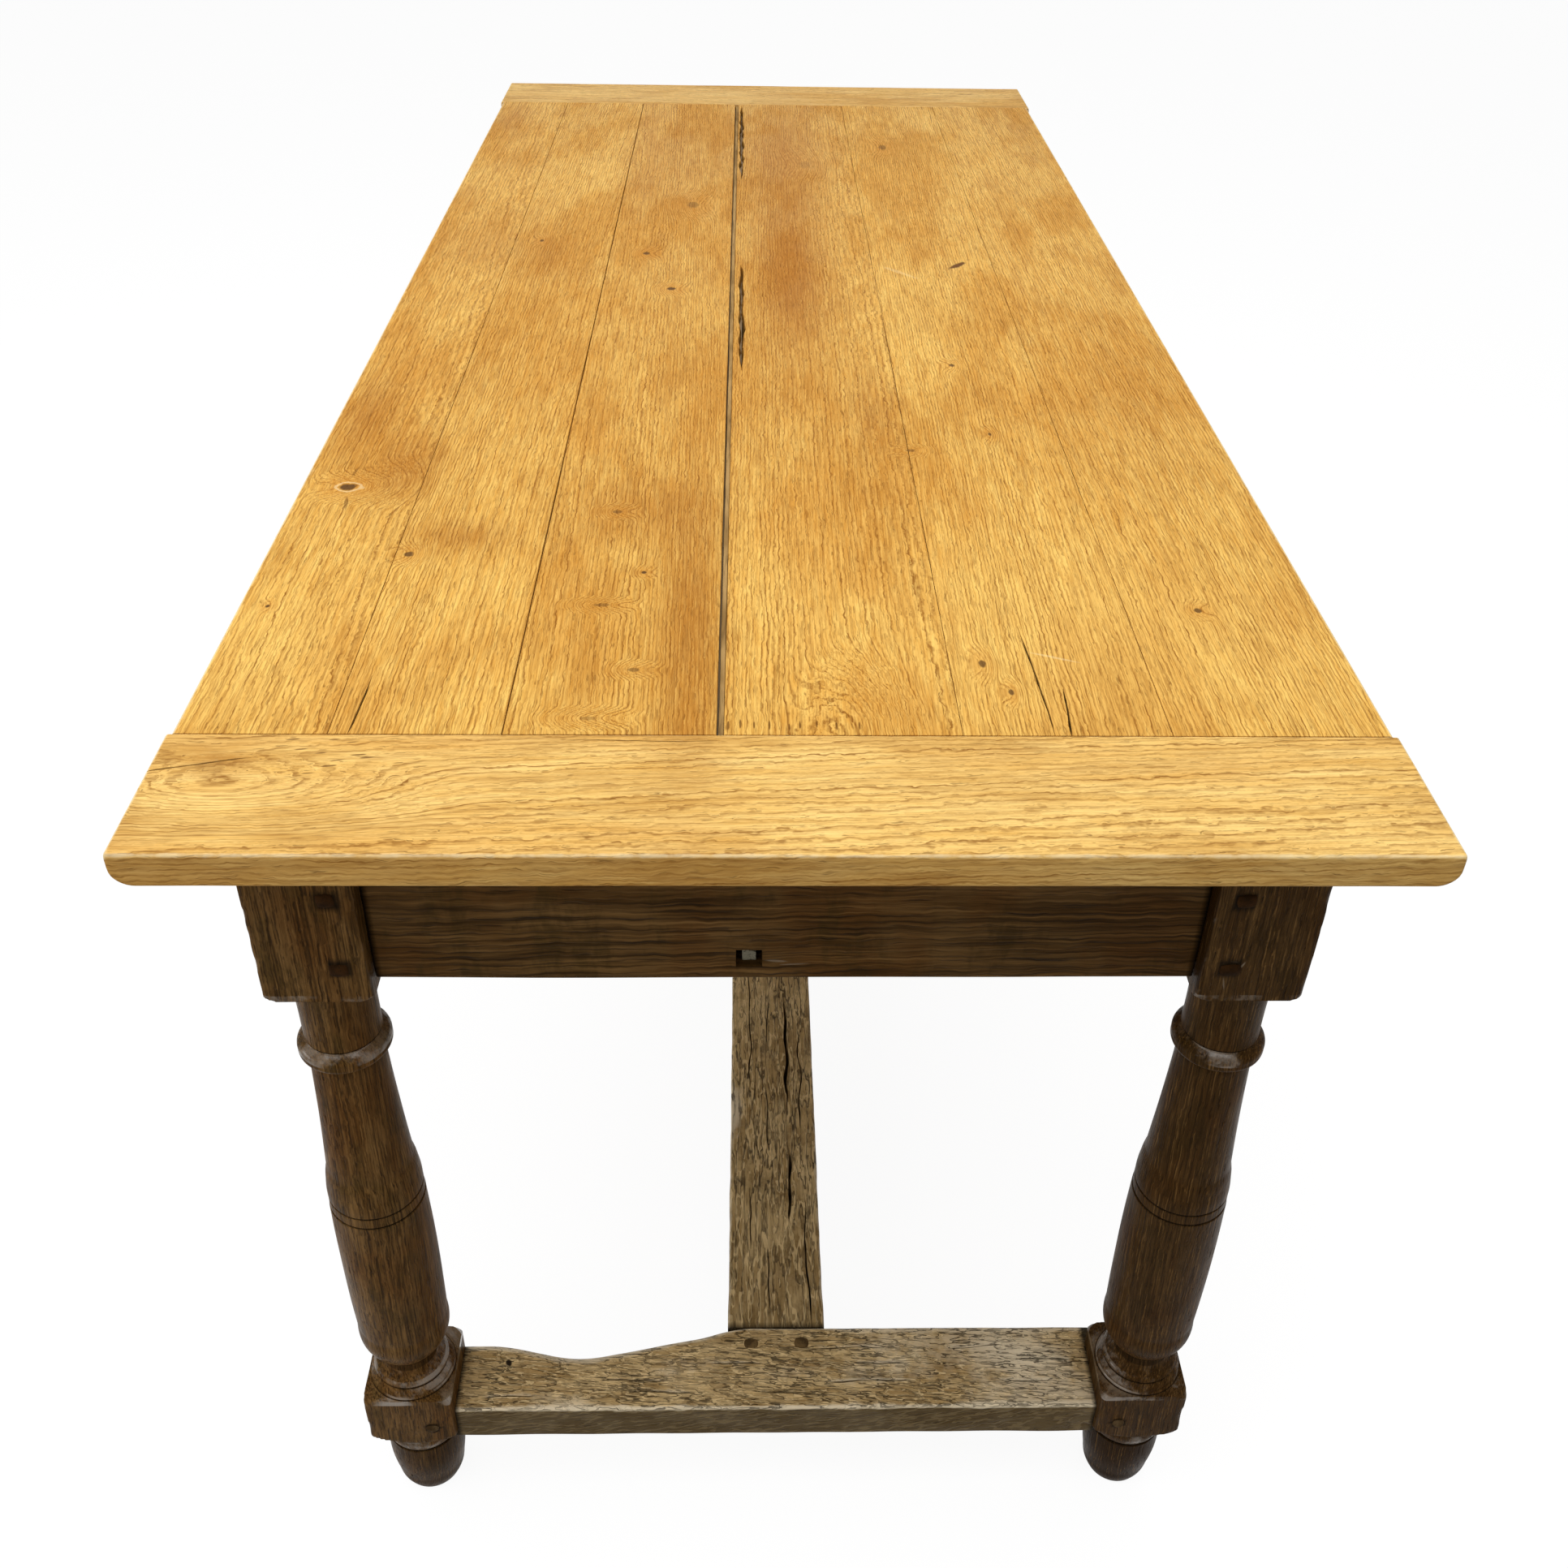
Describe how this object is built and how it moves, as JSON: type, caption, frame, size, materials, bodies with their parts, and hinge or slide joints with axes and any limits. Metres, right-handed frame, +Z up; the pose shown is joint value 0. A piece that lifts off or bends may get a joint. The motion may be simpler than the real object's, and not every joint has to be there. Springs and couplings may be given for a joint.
{
  "type": "farmhouse table",
  "caption": "Old oak farmhouse table with a plank top between end boards, turned legs, low apron and an H-shaped foot stretcher",
  "frame": {"origin": "on the floor under the middle of the table", "axes": "X across the table, Y along it with the pictured end at minus Y, Z up"},
  "size_m": [0.8, 1.94, 0.76],
  "materials": {
    "oak_top": "waxed, satin",
    "oak_frame": "dark waxed, worn on the edges",
    "oak_stretcher": "dry, worn by feet",
    "oak_peg": "end grain, waxed",
    "oak_hidden": "dry, unfinished",
    "grey_strip": "dry, grey",
    "iron": "dull, forged"
  },
  "bodies": {
    "root": {"top_board_1": "oak_top", "top_board_2": "oak_top", "top_board_3": "oak_top", "top_board_4": "oak_top", "top_board_5": "oak_top", "top_board_6": "oak_top", "end_cap_near": "oak_top", "cap_pegs_near": "oak_peg", "end_apron_near": "oak_frame", "end_stretcher_near": "oak_stretcher", "stretcher_pegs_near": "oak_peg", "spine_pegs_near": "oak_peg", "leg_near_left": "oak_frame", "apron_pegs_near_left": "oak_peg", "leg_near_right": "oak_frame", "apron_pegs_near_right": "oak_peg", "end_cap_far": "oak_top", "cap_pegs_far": "oak_peg", "end_apron_far": "oak_frame", "end_stretcher_far": "oak_stretcher", "stretcher_pegs_far": "oak_peg", "spine_pegs_far": "oak_peg", "leg_far_left": "oak_frame", "apron_pegs_far_left": "oak_peg", "leg_far_right": "oak_frame", "apron_pegs_far_right": "oak_peg", "top_tongue_1": "oak_hidden", "top_tongue_2": "oak_hidden", "top_tongue_3": "oak_hidden", "top_tongue_4": "oak_hidden", "top_tongue_5": "oak_hidden", "side_apron_left": "oak_frame", "buttons_left": "oak_hidden", "side_apron_right": "oak_frame", "buttons_right": "oak_hidden", "joint_filler": "grey_strip", "apron_plug": "grey_strip", "centre_stretcher": "oak_stretcher", "top_bearer": "oak_hidden", "bearer_nails": "iron", "button_nails": "iron"}
  },
  "joints": []
}
